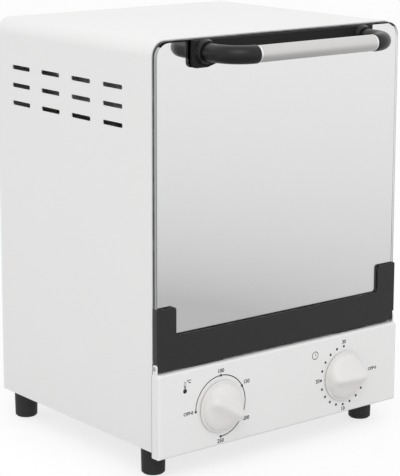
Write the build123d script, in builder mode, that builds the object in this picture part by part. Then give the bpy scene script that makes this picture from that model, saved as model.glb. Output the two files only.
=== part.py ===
"""A mini upright dry heat sterilizer: a white steel case on four feet, a mirror glass door hinged
at its foot, and a control panel with a temperature knob and a timer knob.

Millimetres. +X is to the right as seen from the front, +Y goes to the rear and +Z up. The origin
lies on the surface that the feet stand on, under the centre of the whole outline."""

import os
from math import cos, radians, sin, sqrt, tan

from build123d import *

os.makedirs("parts", exist_ok=True)

# ---- Case ----
foot_height = 22.2  # from the bench to the case's underside
case_width = 240.0
case_depth = 203.0
case_height = 306.6
sheet = 0.8  # steel sheet of the case and of what is folded to fit it
case_top_radius = 11.5
case_bottom_radius = 8.0
case_flange = 18.0  # flat flange turned in at the case's foot, past the bend
rear_flange = 10.0  # flange turned in all round the case's rear edge
least_bend = 1.0  # smallest inside radius of a folded corner

# ---- Vent slots in both sides ----
vent_length = 24.5
vent_width = 3.5
vent_corner = 1.2
vent_pitch = 40.6
vent_columns = 4
vent_rows = 3
vent_row_pitch = 14.15
vent_front_margin = 47.5  # from the case's front edge to the first slot's centre
vent_top_margin = 37.2  # from the case's top to the top row's centre

# ---- Control panel ----
panel_drop = 3.4  # its lower edge hangs below the case's underside
panel_height = 65.1
panel_projection = 10.0  # ahead of the case's front edge
panel_overhang = 1.2  # each side stands this far outside the case's side
panel_sheet = 1.2
panel_corner_radius = 8.0
panel_top_corner = 2.6
panel_edge_radius = 1.8
panel_seam = 0.5  # gap between the panel's rear edge and the case
panel_rim = 8.0  # rim turned in at the panel's rear
ear_front = 2.2  # the hinge ear's reach ahead of the hinge axis
ear_rear = 2.0
ear_top = 2.8
ear_radius = 1.8

# ---- Door ----
door_gap = 1.9  # between the case's front edge and the closed door
door_clearance = 1.7  # between the control panel's top and the door's foot
glass_thickness = 3.0
glass_top_margin = 1.0  # the pane's top edge below the case's top
glass_edge = 0.4  # ground edge of the pane
bracket_sheet = 0.8
bracket_band = 25.6  # height of the black band across the door's foot
bracket_horn = 47.2  # height of its raised ends
bracket_horn_width = 18.3
bracket_horn_radius = 2.5
bracket_lip = 16.4  # height of the channel's rear lip
bracket_lobe_depth = 0.8  # two lobes stand below the channel's foot
bracket_lobe_inner = 58.0
bracket_lobe_outer = 90.0
ear_clearance = 0.4  # each side, between the ear and the door
hinge_rise = 2.6  # hinge axis above the door's foot
hinge_pin_radius = 1.0
hinge_running_clearance = 0.06
hinge_head_radius = 1.6
hinge_head = 0.6
hinge_tail = 3.2  # pin length inside the bracket's end plate
pin_pocket = 4.6  # the pane is cut away this far above the hinge axis

# ---- Handle ----
handle_span = 155.6  # between the two collars
handle_drop = 9.0  # the bar's axis below the pane's top edge
handle_reach = 36.0  # the bar's axis ahead of the pane
handle_bend = 19.0  # centreline radius of the elbows
elbow_tail = 1.0  # straight end of each elbow, where the bar slips on
elbow_radius = 6.75
collar_radius = 9.5
collar_thickness = 4.0
collar_taper = 18.0  # degrees
bar_radius = 6.2
bar_wall = 1.2
spigot_length = 12.0
spigot_clearance = 0.15
handle_end_edge = 0.5
handle_base_thickness = 3.0
handle_base_edge = 0.9
handle_base_overhang = 11.2  # the base strip past each collar's axis
handle_base_top = 0.2  # below the pane's top edge
handle_strip_height = 12.8
handle_pad_height = 20.3
handle_pad_length = 14.0
handle_pad_slope = 26.0  # length over which the pad rises into the strip
handle_pad_radius = 4.0
handle_screw_radius = 2.0
handle_screw_clearance = 0.5
handle_screw_bite = 12.0  # thread length inside the elbow
handle_screw_head_radius = 3.8
handle_screw_head = 1.3
washer_radius = 5.5
washer_thickness = 0.5

# ---- Knobs and what they turn ----
knob_spacing = 126.0
knob_height = 31.0  # above the control panel's lower edge
knob_gap = 0.9  # between panel and knob
knob_radius = 19.2  # thin flange at the knob's foot
knob_flange = 1.3
knob_foot_radius = 18.3
knob_face_radius = 17.2
knob_total_height = 14.0  # above the panel
knob_edge = 2.0  # rounding of the knob's outer edge
knob_wall = 2.2
knob_roof = 4.2  # height of the hollow under the knob
knob_grip_half = 2.6  # half width of the grip just below its crest
knob_grip_drop = 1.3  # fall from the crest to there
knob_flank_half = 5.6  # half width of the grip halfway down
knob_flank_height = 10.2
knob_lobe_half = 10.0  # where the grip's flank runs out into the face
knob_lobe_height = 8.0
knob_rim_height = 6.6
knob_boss_radius = 5.4
temperature_pointer = 120.0  # clockwise from straight up, as the knobs are set
timer_pointer = 90.0
spindle_radius = 3.0
spindle_running_clearance = 0.06
spindle_grip = 5.2  # spindle length inside the knob
bush_radius = 5.0
bush_length = 3.0  # ahead of the panel
bush_clearance = 0.3
bore_depth = 13.0  # of the spindle's bore behind the panel
spindle_end_gap = 0.4
thermostat_size = 34.0
thermostat_depth = 22.0
thermostat_corner = 3.0
timer_radius = 21.0
timer_depth = 26.0
timer_edge = 1.5
bell_radius = 14.0
bell_height = 7.0
bell_gap = 1.5  # between the timer's body and the bell's rim
bell_post_radius = 2.5
dial_screw_spread = 24.0  # between the two screws of a thermostat or timer
dial_screw_radius = 1.5
dial_screw_head_radius = 2.7
dial_screw_head = 1.7
dial_screw_clearance = 0.2
dial_screw_bite = 6.0

# ---- Front frame and chamber ----
fit_clearance = 0.3  # between the case and what slides into it
frame_flange = 10.0
service_margin = 3.0  # each side, from the panel's rim to the opening behind the knobs
service_corner = 4.0
chamber_side_gap = 22.0  # from the case's outer face to the chamber's inner face
chamber_floor_rise = 14.9  # above the control panel's top
chamber_top_gap = 20.0  # below the case's top
chamber_rear_gap = 24.0  # from the chamber's back to the case's rear
ledge_count = 3
ledge_first = 50.0  # above the chamber floor
ledge_pitch = 45.0
ledge_depth = 5.0  # how far a pressed ledge stands into the chamber
ledge_half_height = 6.0
ledge_slope = 25.0  # degrees
ledge_end_margin = 10.0
shield_gap = 9.0
shield_margin = 14.0
support_inset = 38.8  # from the chamber's outer side to each support's middle
support_width = 20.0
support_flange = 14.0
support_rise = 95.0  # above the chamber floor

# ---- Heaters ----
heater_radius = 4.0
heater_wall_distance = 14.0  # from the chamber's floor or ceiling to the tube's axis
heater_front_margin = 45.0
heater_spacing = 85.0
cap_radius = 6.8
cap_hole_clearance = 0.2
cap_flange_radius = 9.5
cap_flange = 3.0
cap_nose = 3.0  # inside the chamber
cap_tail = 8.0  # outside the chamber, past the flange
cap_bore_clearance = 0.1
heater_pin_radius = 1.4
heater_pin_length = 5.0

# ---- Wire rack and tray ----
rack_ledge = 1  # the ledge in use, counted up from 0
rack_side_clearance = 0.8
rack_seat_clearance = 0.1
rack_front_margin = 7.0
rack_rear_margin = 12.0
rack_wire_radius = 2.0
rack_corner = 12.0
rack_rod_radius = 1.3
rack_rod_count = 9
rack_rod_sink = 0.6  # how far the rods are welded into the frame wire
tray_width = 170.0
tray_depth = 132.0
tray_height = 15.0
tray_sheet = 0.8
tray_draft = 12.0
tray_corner = 14.0
tray_rim = 5.0
tray_lip = 2.6
tray_groove_land = 0.2  # between the pan's wall and the groove behind the lip
tray_rear_margin = 8.0  # from the rack's rear wire to the tray's rim

# ---- Base, back and feet ----
back_inset = 1.6
back_screw_inset = 6.0  # from the case's sides
back_screw_corner = 16.0  # from the case's top and underside
back_screw_radius = 1.5
back_screw_head_radius = 3.0
back_screw_head = 1.8
back_screw_edge = 0.8
back_screw_length = 5.0
back_vent_count = 9
back_vent_pitch = 16.0
back_vent_length = 34.0
back_vent_width = 4.0
back_vent_drop = 66.0  # below the case's top
base_vent_count = 7
base_vent_pitch = 18.0
base_vent_length = 60.0
base_vent_width = 4.0
foot_radius = 9.0
foot_top_radius = 10.0
foot_neck_radius = 9.4
foot_rim = 2.2
foot_edge = 1.2
foot_side_inset = 13.2
foot_front_inset = 16.5
foot_rear_inset = 13.0
foot_recess_radius = 5.0
foot_recess = 12.0
foot_screw_radius = 2.0
foot_screw_head_radius = 3.8
foot_screw_head = 2.6
foot_screw_clearance = 0.25
foot_nut_width = 7.0
foot_nut_height = 3.2
foot_screw_end = 1.5
gland_bore_radius = 3.5
gland_radius = 6.2
gland_flange_radius = 9.5
gland_flange = 2.5
gland_nose = 7.0
gland_nose_radius = 4.9
gland_tail = 6.0
gland_nut_radius = 9.0
gland_nut_height = 4.0
gland_clearance = 0.15
gland_side_inset = 42.0
gland_rise = 26.0  # above the case's underside
terminal_length = 34.0
terminal_width = 17.0
terminal_height = 14.0
terminal_ways = 3
terminal_row_spacing = 8.5
terminal_hole_radius = 2.8
terminal_hole_depth = 7.0
terminal_rear_gap = 40.0
terminal_side_inset = 60.0
panel_screw_radius = 1.5
panel_screw_head_radius = 2.8
panel_screw_head = 2.0
panel_screw_clearance = 0.2
panel_screw_spread = 38.0  # between the upper and the lower screw

# ---- Places that follow from the sizes ----
front_reach = door_gap + bracket_sheet + glass_thickness + handle_reach + elbow_radius
rear_reach = case_depth + sheet + gland_flange + gland_nose
case_front = (front_reach - rear_reach) / 2
case_rear = case_front + case_depth
case_bottom = foot_height
case_top = foot_height + case_height
case_middle = (case_bottom + case_top) / 2
half_width = case_width / 2
panel_half = half_width + panel_overhang

panel_bottom = case_bottom - panel_drop
panel_top = panel_bottom + panel_height
panel_front = case_front - panel_projection
panel_rear = case_front - panel_seam
panel_inside = panel_front + panel_sheet
knob_z = panel_bottom + knob_height

lip_rear = case_front - door_gap
glass_rear = lip_rear - bracket_sheet
glass_front = glass_rear - glass_thickness
bracket_front = glass_front - bracket_sheet
door_bottom = panel_top + door_clearance
glass_bottom = door_bottom + bracket_sheet
glass_top = case_top - glass_top_margin
hinge_y = (bracket_front + lip_rear) / 2
hinge_z = door_bottom + hinge_rise
foot_half = panel_half - panel_sheet - ear_clearance  # the door's half width between the ears
pocket_half = foot_half - bracket_sheet - hinge_tail
pocket_top = hinge_z + pin_pocket

handle_z = glass_top - handle_drop
bar_y = glass_front - handle_reach
base_front = glass_front - handle_base_thickness

frame_front = panel_rear  # the panel's rim seats on the frame
frame_rear = frame_front + sheet
base_top = case_bottom + 2 * sheet
frame_bottom = base_top + fit_clearance
frame_top = case_top - sheet - fit_clearance
frame_half = half_width - sheet - fit_clearance
chamber_half = half_width - chamber_side_gap
chamber_floor_z = panel_top + chamber_floor_rise
chamber_ceiling_z = case_top - chamber_top_gap
chamber_back_y = case_rear - chamber_rear_gap
chamber_middle = (chamber_floor_z + chamber_ceiling_z) / 2
chamber_length = chamber_back_y - frame_rear
chamber_centre = (chamber_back_y + frame_rear) / 2

gland_x = gland_side_inset - half_width
gland_z = case_bottom + gland_rise

foot_x = half_width - foot_side_inset
foot_y_front = case_front + foot_front_inset
foot_y_rear = case_rear - foot_rear_inset
foot_centre = (0, (foot_y_front + foot_y_rear) / 2)
foot_spread = (2 * foot_x, foot_y_rear - foot_y_front)


def facing(y):
    """The upright plane at depth y, drawn as seen from the front. Extruding comes forward."""
    return Plane.XZ.offset(-y)


def case_outline(inset):
    """The case's front view, drawn in by inset from its outer faces."""
    with BuildSketch(mode=Mode.PRIVATE) as outline:
        with Locations((0, case_middle)):
            Rectangle(case_width - 2 * inset, case_height - 2 * inset)
        corner_rows = outline.vertices().group_by(Axis.Y)
        fillet(corner_rows[-1], max(case_top_radius - inset, least_bend))
        fillet(corner_rows[0], max(case_bottom_radius - inset, least_bend))
    return outline.sketch


def panel_outline(inset):
    """The control panel's front view, drawn in by inset from its outer faces."""
    with BuildSketch(mode=Mode.PRIVATE) as outline:
        with Locations((0, panel_bottom + panel_height / 2)):
            Rectangle(2 * (panel_half - inset), panel_height - 2 * inset)
        corner_rows = outline.vertices().group_by(Axis.Y)
        fillet(corner_rows[-1], max(panel_top_corner - inset, least_bend))
        fillet(corner_rows[0], max(panel_corner_radius - inset, least_bend))
    return outline.sketch


def foot_pattern(radius):
    """Four discs, one over each foot."""
    with BuildSketch(mode=Mode.PRIVATE) as discs:
        with Locations(foot_centre):
            with GridLocations(*foot_spread, 2, 2):
                Circle(radius)
    return discs.sketch


def back_screw_pattern(radius):
    """Six discs round the back panel's edge."""
    across = case_width - 2 * back_screw_inset
    upwards = (case_height - 2 * back_screw_corner) / 2
    with BuildSketch(mode=Mode.PRIVATE) as discs:
        with Locations((0, case_middle)):
            with GridLocations(across, upwards, 2, 3):
                Circle(radius)
    return discs.sketch


def panel_screw_pattern(radius):
    """Four discs on the control panel's rim."""
    with BuildSketch(mode=Mode.PRIVATE) as discs:
        with Locations((0, panel_bottom + panel_height / 2)):
            across = case_width - 2 * panel_sheet - panel_rim
            with GridLocations(across, panel_screw_spread, 2, 2):
                Circle(radius)
    return discs.sketch


def dial_screw_pattern(radius):
    """A pair of discs beside each knob's axis."""
    with BuildSketch(mode=Mode.PRIVATE) as discs:
        with Locations((0, knob_z)):
            with GridLocations(knob_spacing, 1, 2, 1):
                with GridLocations(dial_screw_spread, 1, 2, 1):
                    Circle(radius)
    return discs.sketch


def save(part, name):
    """Labels a finished piece and writes it under its name."""
    part.label = name
    export_step(part, f"parts/{name}.step")


# ---- Case shell: one bent wrap, slotted for air, with flanges at its foot and its rear ----
vent_centre_y = case_front + vent_front_margin + (vent_columns - 1) * vent_pitch / 2
vent_centre_z = case_top - vent_top_margin - (vent_rows - 1) * vent_row_pitch / 2
flange_edge = half_width - case_bottom_radius - case_flange
with BuildPart() as case_shell:
    with BuildSketch(facing(case_rear)):
        add(case_outline(0))
        add(case_outline(sheet), mode=Mode.SUBTRACT)
        with Locations((0, case_bottom)):
            Rectangle(2 * flange_edge, 4 * sheet, mode=Mode.SUBTRACT)
    extrude(amount=case_depth)
    with BuildSketch(facing(case_rear)):
        add(case_outline(0))
        add(case_outline(rear_flange), mode=Mode.SUBTRACT)
    extrude(amount=sheet)
    with BuildSketch(Plane.YZ):
        with Locations((vent_centre_y, vent_centre_z)):
            with GridLocations(vent_pitch, vent_row_pitch, vent_columns, vent_rows):
                RectangleRounded(vent_length, vent_width, vent_corner)
    extrude(amount=half_width, both=True, mode=Mode.SUBTRACT)
    with BuildSketch(Plane.XY.offset(case_bottom)):
        add(foot_pattern(foot_screw_radius + foot_screw_clearance))
    extrude(amount=sheet, mode=Mode.SUBTRACT)
    with BuildSketch(facing(case_rear)):
        add(back_screw_pattern(back_screw_radius))
    extrude(amount=sheet, mode=Mode.SUBTRACT)
save(case_shell.part, "case_shell")

# ---- Base plate: lies on the case's foot flanges, slotted for cooling air ----
base_front_y = case_front + fit_clearance
base_rear_y = case_rear - sheet - fit_clearance
base_half = half_width - case_bottom_radius - fit_clearance
with BuildPart() as base_plate:
    with BuildSketch(Plane.XY.offset(case_bottom + sheet)):
        with Locations((0, (base_front_y + base_rear_y) / 2)):
            Rectangle(2 * base_half, base_rear_y - base_front_y)
            with GridLocations(base_vent_pitch, 1, base_vent_count, 1):
                SlotOverall(base_vent_length, base_vent_width, rotation=90, mode=Mode.SUBTRACT)
        add(foot_pattern(foot_screw_radius + foot_screw_clearance), mode=Mode.SUBTRACT)
    extrude(amount=sheet)
save(base_plate.part, "base_plate")

# ---- Back panel: lies on the case's rear flange, with air slots and the cord's hole ----
with BuildPart() as back_panel:
    with BuildSketch(facing(case_rear + sheet)):
        add(case_outline(back_inset))
        with Locations((0, case_top - back_vent_drop)):
            with GridLocations(back_vent_pitch, 1, back_vent_count, 1):
                SlotOverall(back_vent_length, back_vent_width, rotation=90, mode=Mode.SUBTRACT)
        with Locations((gland_x, gland_z)):
            Circle(gland_radius + gland_clearance, mode=Mode.SUBTRACT)
        add(back_screw_pattern(back_screw_radius), mode=Mode.SUBTRACT)
    extrude(amount=sheet)
save(back_panel.part, "back_panel")

# ---- Back screws: pan-head sheet-metal screws through panel and flange ----
with BuildPart() as back_screws:
    with BuildSketch(facing(case_rear + sheet + back_screw_head)):
        add(back_screw_pattern(back_screw_head_radius))
    extrude(amount=back_screw_head)
    chamfer(back_screws.faces().group_by(Axis.Y)[-1].edges(), back_screw_edge)
    with BuildSketch(facing(case_rear + sheet)):
        add(back_screw_pattern(back_screw_radius))
    extrude(amount=back_screw_length)
save(back_screws.part, "back_screws")

# ---- Feet: tapered black mouldings with a rim at the top and a deep recess for the screw ----
foot_places = {
    "foot_front_left": (-foot_x, foot_y_front),
    "foot_front_right": (foot_x, foot_y_front),
    "foot_rear_left": (-foot_x, foot_y_rear),
    "foot_rear_right": (foot_x, foot_y_rear),
}
foot_hole_radius = foot_screw_radius + foot_screw_clearance
for foot_name, (place_x, place_y) in foot_places.items():
    with BuildPart() as foot:
        with BuildSketch(Plane(origin=(place_x, place_y, 0), x_dir=(1, 0, 0), z_dir=(0, -1, 0))):
            with BuildLine():
                Polyline(
                    (foot_recess_radius, 0),
                    (foot_radius - foot_edge, 0),
                    (foot_radius, foot_edge),
                    (foot_neck_radius, foot_height - foot_rim),
                    (foot_top_radius, foot_height - foot_rim),
                    (foot_top_radius, foot_height),
                    (foot_hole_radius, foot_height),
                    (foot_hole_radius, foot_recess),
                    (foot_recess_radius, foot_recess),
                    close=True,
                )
            make_face()
        revolve(axis=Axis((place_x, place_y, 0), (0, 0, 1)))
    save(foot.part, foot_name)

# ---- Foot screws and nuts: up through foot, flange and base plate ----
with BuildPart() as foot_screws:
    with BuildSketch(Plane.XY.offset(foot_recess - foot_screw_head)):
        add(foot_pattern(foot_screw_head_radius))
    extrude(amount=foot_screw_head)
    with BuildSketch(Plane.XY.offset(foot_recess)):
        add(foot_pattern(foot_screw_radius))
    extrude(amount=base_top + foot_nut_height + foot_screw_end - foot_recess)
save(foot_screws.part, "foot_screws")
with BuildPart() as foot_nuts:
    with BuildSketch(Plane.XY.offset(base_top)):
        with Locations(foot_centre):
            with GridLocations(*foot_spread, 2, 2):
                RegularPolygon(foot_nut_width / 2, 6, major_radius=False)
                Circle(foot_screw_radius, mode=Mode.SUBTRACT)
    extrude(amount=foot_nut_height)
save(foot_nuts.part, "foot_nuts")

# ---- Cord gland: a moulded sleeve through the back panel, held by a nut inside ----
gland_origin = (gland_x, case_rear + sheet, gland_z)
with BuildPart() as cord_gland:
    with BuildSketch(Plane(origin=gland_origin, x_dir=(1, 0, 0), z_dir=(0, 0, 1))):
        with BuildLine():
            Polyline(
                (gland_bore_radius, -sheet - gland_tail),
                (gland_radius, -sheet - gland_tail),
                (gland_radius, 0),
                (gland_flange_radius, 0),
                (gland_flange_radius, gland_flange),
                (gland_radius, gland_flange),
                (gland_nose_radius, gland_flange + gland_nose),
                (gland_bore_radius, gland_flange + gland_nose),
                close=True,
            )
        make_face()
    revolve(axis=Axis(gland_origin, (0, 1, 0)))
save(cord_gland.part, "cord_gland")
with BuildPart() as gland_nut:
    with BuildSketch(facing(case_rear)):
        with Locations((gland_x, gland_z)):
            RegularPolygon(gland_nut_radius, 6)
            Circle(gland_radius, mode=Mode.SUBTRACT)
    extrude(amount=gland_nut_height)
save(gland_nut.part, "gland_nut")

# ---- Terminal block: joins the cord to the inner leads, on the base plate ----
terminal_place = (terminal_side_inset - half_width, case_rear - terminal_rear_gap)
with BuildPart() as terminal_block:
    with BuildSketch(Plane.XY.offset(base_top)):
        with Locations(terminal_place):
            Rectangle(terminal_length, terminal_width)
    extrude(amount=terminal_height)
    with BuildSketch(Plane.XY.offset(base_top + terminal_height)):
        with Locations(terminal_place):
            with GridLocations(terminal_length / terminal_ways, terminal_row_spacing, terminal_ways, 2):
                Circle(terminal_hole_radius)
    extrude(amount=-terminal_hole_depth, mode=Mode.SUBTRACT)
save(terminal_block.part, "terminal_block")

# ---- Control panel: a pressed pan with a rim behind and two ears that hold the door ----
ear_foot = panel_top - panel_top_corner - panel_sheet
with BuildSketch() as ear:
    with BuildLine():
        Polyline(
            (hinge_y - ear_front, ear_foot),
            (hinge_y - ear_front, hinge_z + ear_top),
            (hinge_y + ear_rear, hinge_z + ear_top),
            (hinge_y + ear_rear, ear_foot),
            close=True,
        )
    make_face()
    fillet(ear.vertices().group_by(Axis.Y)[-1], ear_radius)
    with Locations((hinge_y, hinge_z)):
        Circle(hinge_pin_radius + hinge_running_clearance, mode=Mode.SUBTRACT)
with BuildPart() as control_panel:
    with BuildSketch(facing(panel_rear)):
        add(panel_outline(0))
    extrude(amount=panel_rear - panel_front)
    fillet(control_panel.faces().sort_by(Axis.Y)[0].edges(), panel_edge_radius)
    offset(amount=-panel_sheet, openings=control_panel.faces().sort_by(Axis.Y)[-1])
    with BuildSketch(facing(panel_rear)):
        add(panel_outline(0))
        add(panel_outline(panel_sheet + panel_rim), mode=Mode.SUBTRACT)
        add(panel_screw_pattern(panel_screw_radius), mode=Mode.SUBTRACT)
    extrude(amount=panel_sheet)
    for side in (-1, 1):
        with BuildSketch(Plane.YZ.offset(side * panel_half)):
            add(ear.sketch)
        extrude(amount=-side * panel_sheet)
    with BuildSketch(facing(panel_inside)):
        with Locations((0, knob_z)):
            with GridLocations(knob_spacing, 1, 2, 1):
                Circle(bush_radius + bush_clearance)
        add(dial_screw_pattern(dial_screw_radius + dial_screw_clearance))
    extrude(amount=panel_sheet, mode=Mode.SUBTRACT)
save(control_panel.part, "control_panel")

# ---- Front frame: a pan behind door and panel, with the chamber's mouth and a service opening ----
service_half = half_width - panel_sheet - panel_rim - service_margin
service_bottom = panel_bottom + panel_sheet + panel_rim
service_top = panel_top - panel_sheet - panel_rim
with BuildSketch() as frame_outline:
    with Locations((0, (frame_bottom + frame_top) / 2)):
        Rectangle(2 * frame_half, frame_top - frame_bottom)
    frame_corners = frame_outline.vertices().group_by(Axis.Y)
    fillet(frame_corners[-1], case_top_radius - sheet - fit_clearance)
    fillet(frame_corners[0], case_bottom_radius - sheet)
with BuildPart() as front_frame:
    with BuildSketch(facing(frame_rear + frame_flange)):
        add(frame_outline.sketch)
    extrude(amount=frame_flange + sheet)
    with BuildSketch(facing(frame_rear + frame_flange)):
        add(frame_outline.sketch)
        offset(amount=-sheet, mode=Mode.REPLACE)
    extrude(amount=frame_flange, mode=Mode.SUBTRACT)
    with BuildSketch(facing(frame_rear)):
        with Locations((0, chamber_middle)):
            Rectangle(2 * chamber_half, chamber_ceiling_z - chamber_floor_z)
        with Locations((0, (service_bottom + service_top) / 2)):
            RectangleRounded(2 * service_half, service_top - service_bottom, service_corner)
        add(panel_screw_pattern(panel_screw_radius + panel_screw_clearance))
    extrude(amount=sheet, mode=Mode.SUBTRACT)
save(front_frame.part, "front_frame")

# ---- Panel screws: from behind, through the front frame into the panel's rim ----
with BuildPart() as panel_screws:
    with BuildSketch(facing(frame_rear + panel_screw_head)):
        add(panel_screw_pattern(panel_screw_head_radius))
    extrude(amount=panel_screw_head)
    with BuildSketch(facing(frame_rear)):
        add(panel_screw_pattern(panel_screw_radius))
    extrude(amount=frame_rear - panel_rear + panel_sheet)
save(panel_screws.part, "panel_screws")

# ---- Chamber walls: each with pressed ledges for the rack and holes for the heater caps ----
heater_low_z = chamber_floor_z + heater_wall_distance
heater_high_z = chamber_ceiling_z - heater_wall_distance
heater_front_y = case_front + heater_front_margin
heater_rear_y = heater_front_y + heater_spacing
heater_places = {
    "lower_heater_front": (heater_front_y, heater_low_z),
    "lower_heater_rear": (heater_rear_y, heater_low_z),
    "upper_heater_front": (heater_front_y, heater_high_z),
    "upper_heater_rear": (heater_rear_y, heater_high_z),
}
wall_height = chamber_ceiling_z - chamber_floor_z
ledge_length = chamber_length - 2 * ledge_end_margin
ledge_middle_z = chamber_floor_z + ledge_first + (ledge_count - 1) * ledge_pitch / 2
for side, wall_name in ((-1, "chamber_wall_left"), (1, "chamber_wall_right")):
    with BuildPart() as chamber_wall:
        with BuildSketch(Plane.YZ.offset(side * chamber_half)):
            with Locations((chamber_centre, chamber_middle)):
                Rectangle(chamber_length, wall_height)
            with Locations(*heater_places.values()):
                Circle(cap_radius + cap_hole_clearance, mode=Mode.SUBTRACT)
        extrude(amount=side * sheet)
        for face_x, slope_mode in ((0, Mode.ADD), (sheet, Mode.SUBTRACT)):
            with BuildSketch(Plane.YZ.offset(side * (chamber_half + face_x))):
                with Locations((chamber_centre, ledge_middle_z)):
                    with GridLocations(1, ledge_pitch, 1, ledge_count):
                        SlotOverall(ledge_length, 2 * ledge_half_height)
            extrude(amount=-side * ledge_depth, taper=ledge_slope, mode=slope_mode)
    save(chamber_wall.part, wall_name)

# ---- Chamber ceiling, floor and back: flat sheets that close the walls ----
chamber_outer_half = chamber_half + sheet
with BuildPart() as chamber_ceiling:
    with BuildSketch(Plane.XY.offset(chamber_ceiling_z)):
        with Locations((0, chamber_centre)):
            Rectangle(2 * chamber_outer_half, chamber_length)
    extrude(amount=sheet)
save(chamber_ceiling.part, "chamber_ceiling")
with BuildPart() as chamber_floor:
    with BuildSketch(Plane.XY.offset(chamber_floor_z)):
        with Locations((0, chamber_centre)):
            Rectangle(2 * chamber_outer_half, chamber_length)
    extrude(amount=-sheet)
save(chamber_floor.part, "chamber_floor")
with BuildPart() as chamber_back:
    with BuildSketch(facing(chamber_back_y + sheet)):
        with Locations((0, chamber_middle)):
            Rectangle(2 * chamber_outer_half, wall_height + 2 * sheet)
    extrude(amount=sheet)
save(chamber_back.part, "chamber_back")

# ---- Heat shield: a channel hung under the chamber, over the controls ----
shield_top = chamber_floor_z - sheet
shield_half = chamber_half - shield_margin
with BuildPart() as heat_shield:
    with BuildSketch(facing(chamber_back_y)):
        with Locations((0, shield_top)):
            Rectangle(2 * shield_half, shield_gap, align=(Align.CENTER, Align.MAX))
            Rectangle(
                2 * (shield_half - sheet),
                shield_gap - sheet,
                align=(Align.CENTER, Align.MAX),
                mode=Mode.SUBTRACT,
            )
    extrude(amount=chamber_length)
save(heat_shield.part, "heat_shield")

# ---- Rear supports: Z-brackets that hold the chamber off the back panel ----
support_x = chamber_half + sheet - support_inset
support_z = chamber_floor_z + support_rise
for side, support_name in ((-1, "rear_support_left"), (1, "rear_support_right")):
    with BuildPart() as rear_support:
        with BuildSketch(Plane.YZ.offset(side * support_x)):
            with BuildLine():
                Polyline(
                    (chamber_back_y + sheet, support_z + support_flange),
                    (chamber_back_y + 2 * sheet, support_z + support_flange),
                    (chamber_back_y + 2 * sheet, support_z),
                    (case_rear, support_z),
                    (case_rear, support_z - support_flange),
                    (case_rear - sheet, support_z - support_flange),
                    (case_rear - sheet, support_z - sheet),
                    (chamber_back_y + sheet, support_z - sheet),
                    close=True,
                )
            make_face()
        extrude(amount=support_width / 2, both=True)
    save(rear_support.part, support_name)

# ---- Heaters: straight steel-sheathed tubes across the chamber, with a pin at each end ----
cap_end_x = chamber_half + sheet + cap_flange + cap_tail
for heater_name, (heater_y, heater_z) in heater_places.items():
    with BuildPart() as heater:
        with BuildSketch(Plane.YZ):
            with Locations((heater_y, heater_z)):
                Circle(heater_radius)
        extrude(amount=chamber_half + sheet, both=True)
        with BuildSketch(Plane.YZ):
            with Locations((heater_y, heater_z)):
                Circle(heater_pin_radius)
        extrude(amount=cap_end_x + heater_pin_length, both=True)
    save(heater.part, heater_name)

# ---- Heater caps: stepped ceramic bushes, one node for each side of the chamber ----
for side, caps_name in ((-1, "heater_caps_left"), (1, "heater_caps_right")):
    with BuildPart() as heater_caps:
        for radius, inner_x, outer_x in (
            (cap_radius, chamber_half - cap_nose, cap_end_x),
            (cap_flange_radius, chamber_outer_half, chamber_outer_half + cap_flange),
        ):
            with BuildSketch(Plane.YZ.offset(side * inner_x)):
                with Locations(*heater_places.values()):
                    Circle(radius)
            extrude(amount=side * (outer_x - inner_x))
        for radius, inner_x, outer_x in (
            (heater_radius, chamber_half - cap_nose, chamber_outer_half),
            (heater_pin_radius, chamber_outer_half, cap_end_x),
        ):
            with BuildSketch(Plane.YZ.offset(side * inner_x)):
                with Locations(*heater_places.values()):
                    Circle(radius + cap_bore_clearance)
            extrude(amount=side * (outer_x - inner_x), mode=Mode.SUBTRACT)
    save(heater_caps.part, caps_name)

# ---- Thermostat: a square body behind the panel, with a bush for its spindle ----
thermostat_x = -knob_spacing / 2
timer_x = knob_spacing / 2
with BuildPart() as thermostat_body:
    with BuildSketch(facing(panel_inside + thermostat_depth)):
        with Locations((thermostat_x, knob_z)):
            RectangleRounded(thermostat_size, thermostat_size, thermostat_corner)
    extrude(amount=thermostat_depth)
    with BuildSketch(facing(panel_inside)):
        with Locations((thermostat_x, knob_z)):
            Circle(bush_radius)
    extrude(amount=panel_sheet + bush_length)
    with BuildSketch(facing(panel_inside + bore_depth)):
        with Locations((thermostat_x, knob_z)):
            Circle(spindle_radius + spindle_running_clearance)
    extrude(amount=bore_depth + panel_sheet + bush_length, mode=Mode.SUBTRACT)
    with BuildSketch(facing(panel_inside + dial_screw_bite)):
        with Locations((thermostat_x, knob_z)):
            with GridLocations(dial_screw_spread, 1, 2, 1):
                Circle(dial_screw_radius)
    extrude(amount=dial_screw_bite, mode=Mode.SUBTRACT)
save(thermostat_body.part, "thermostat_body")

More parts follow.
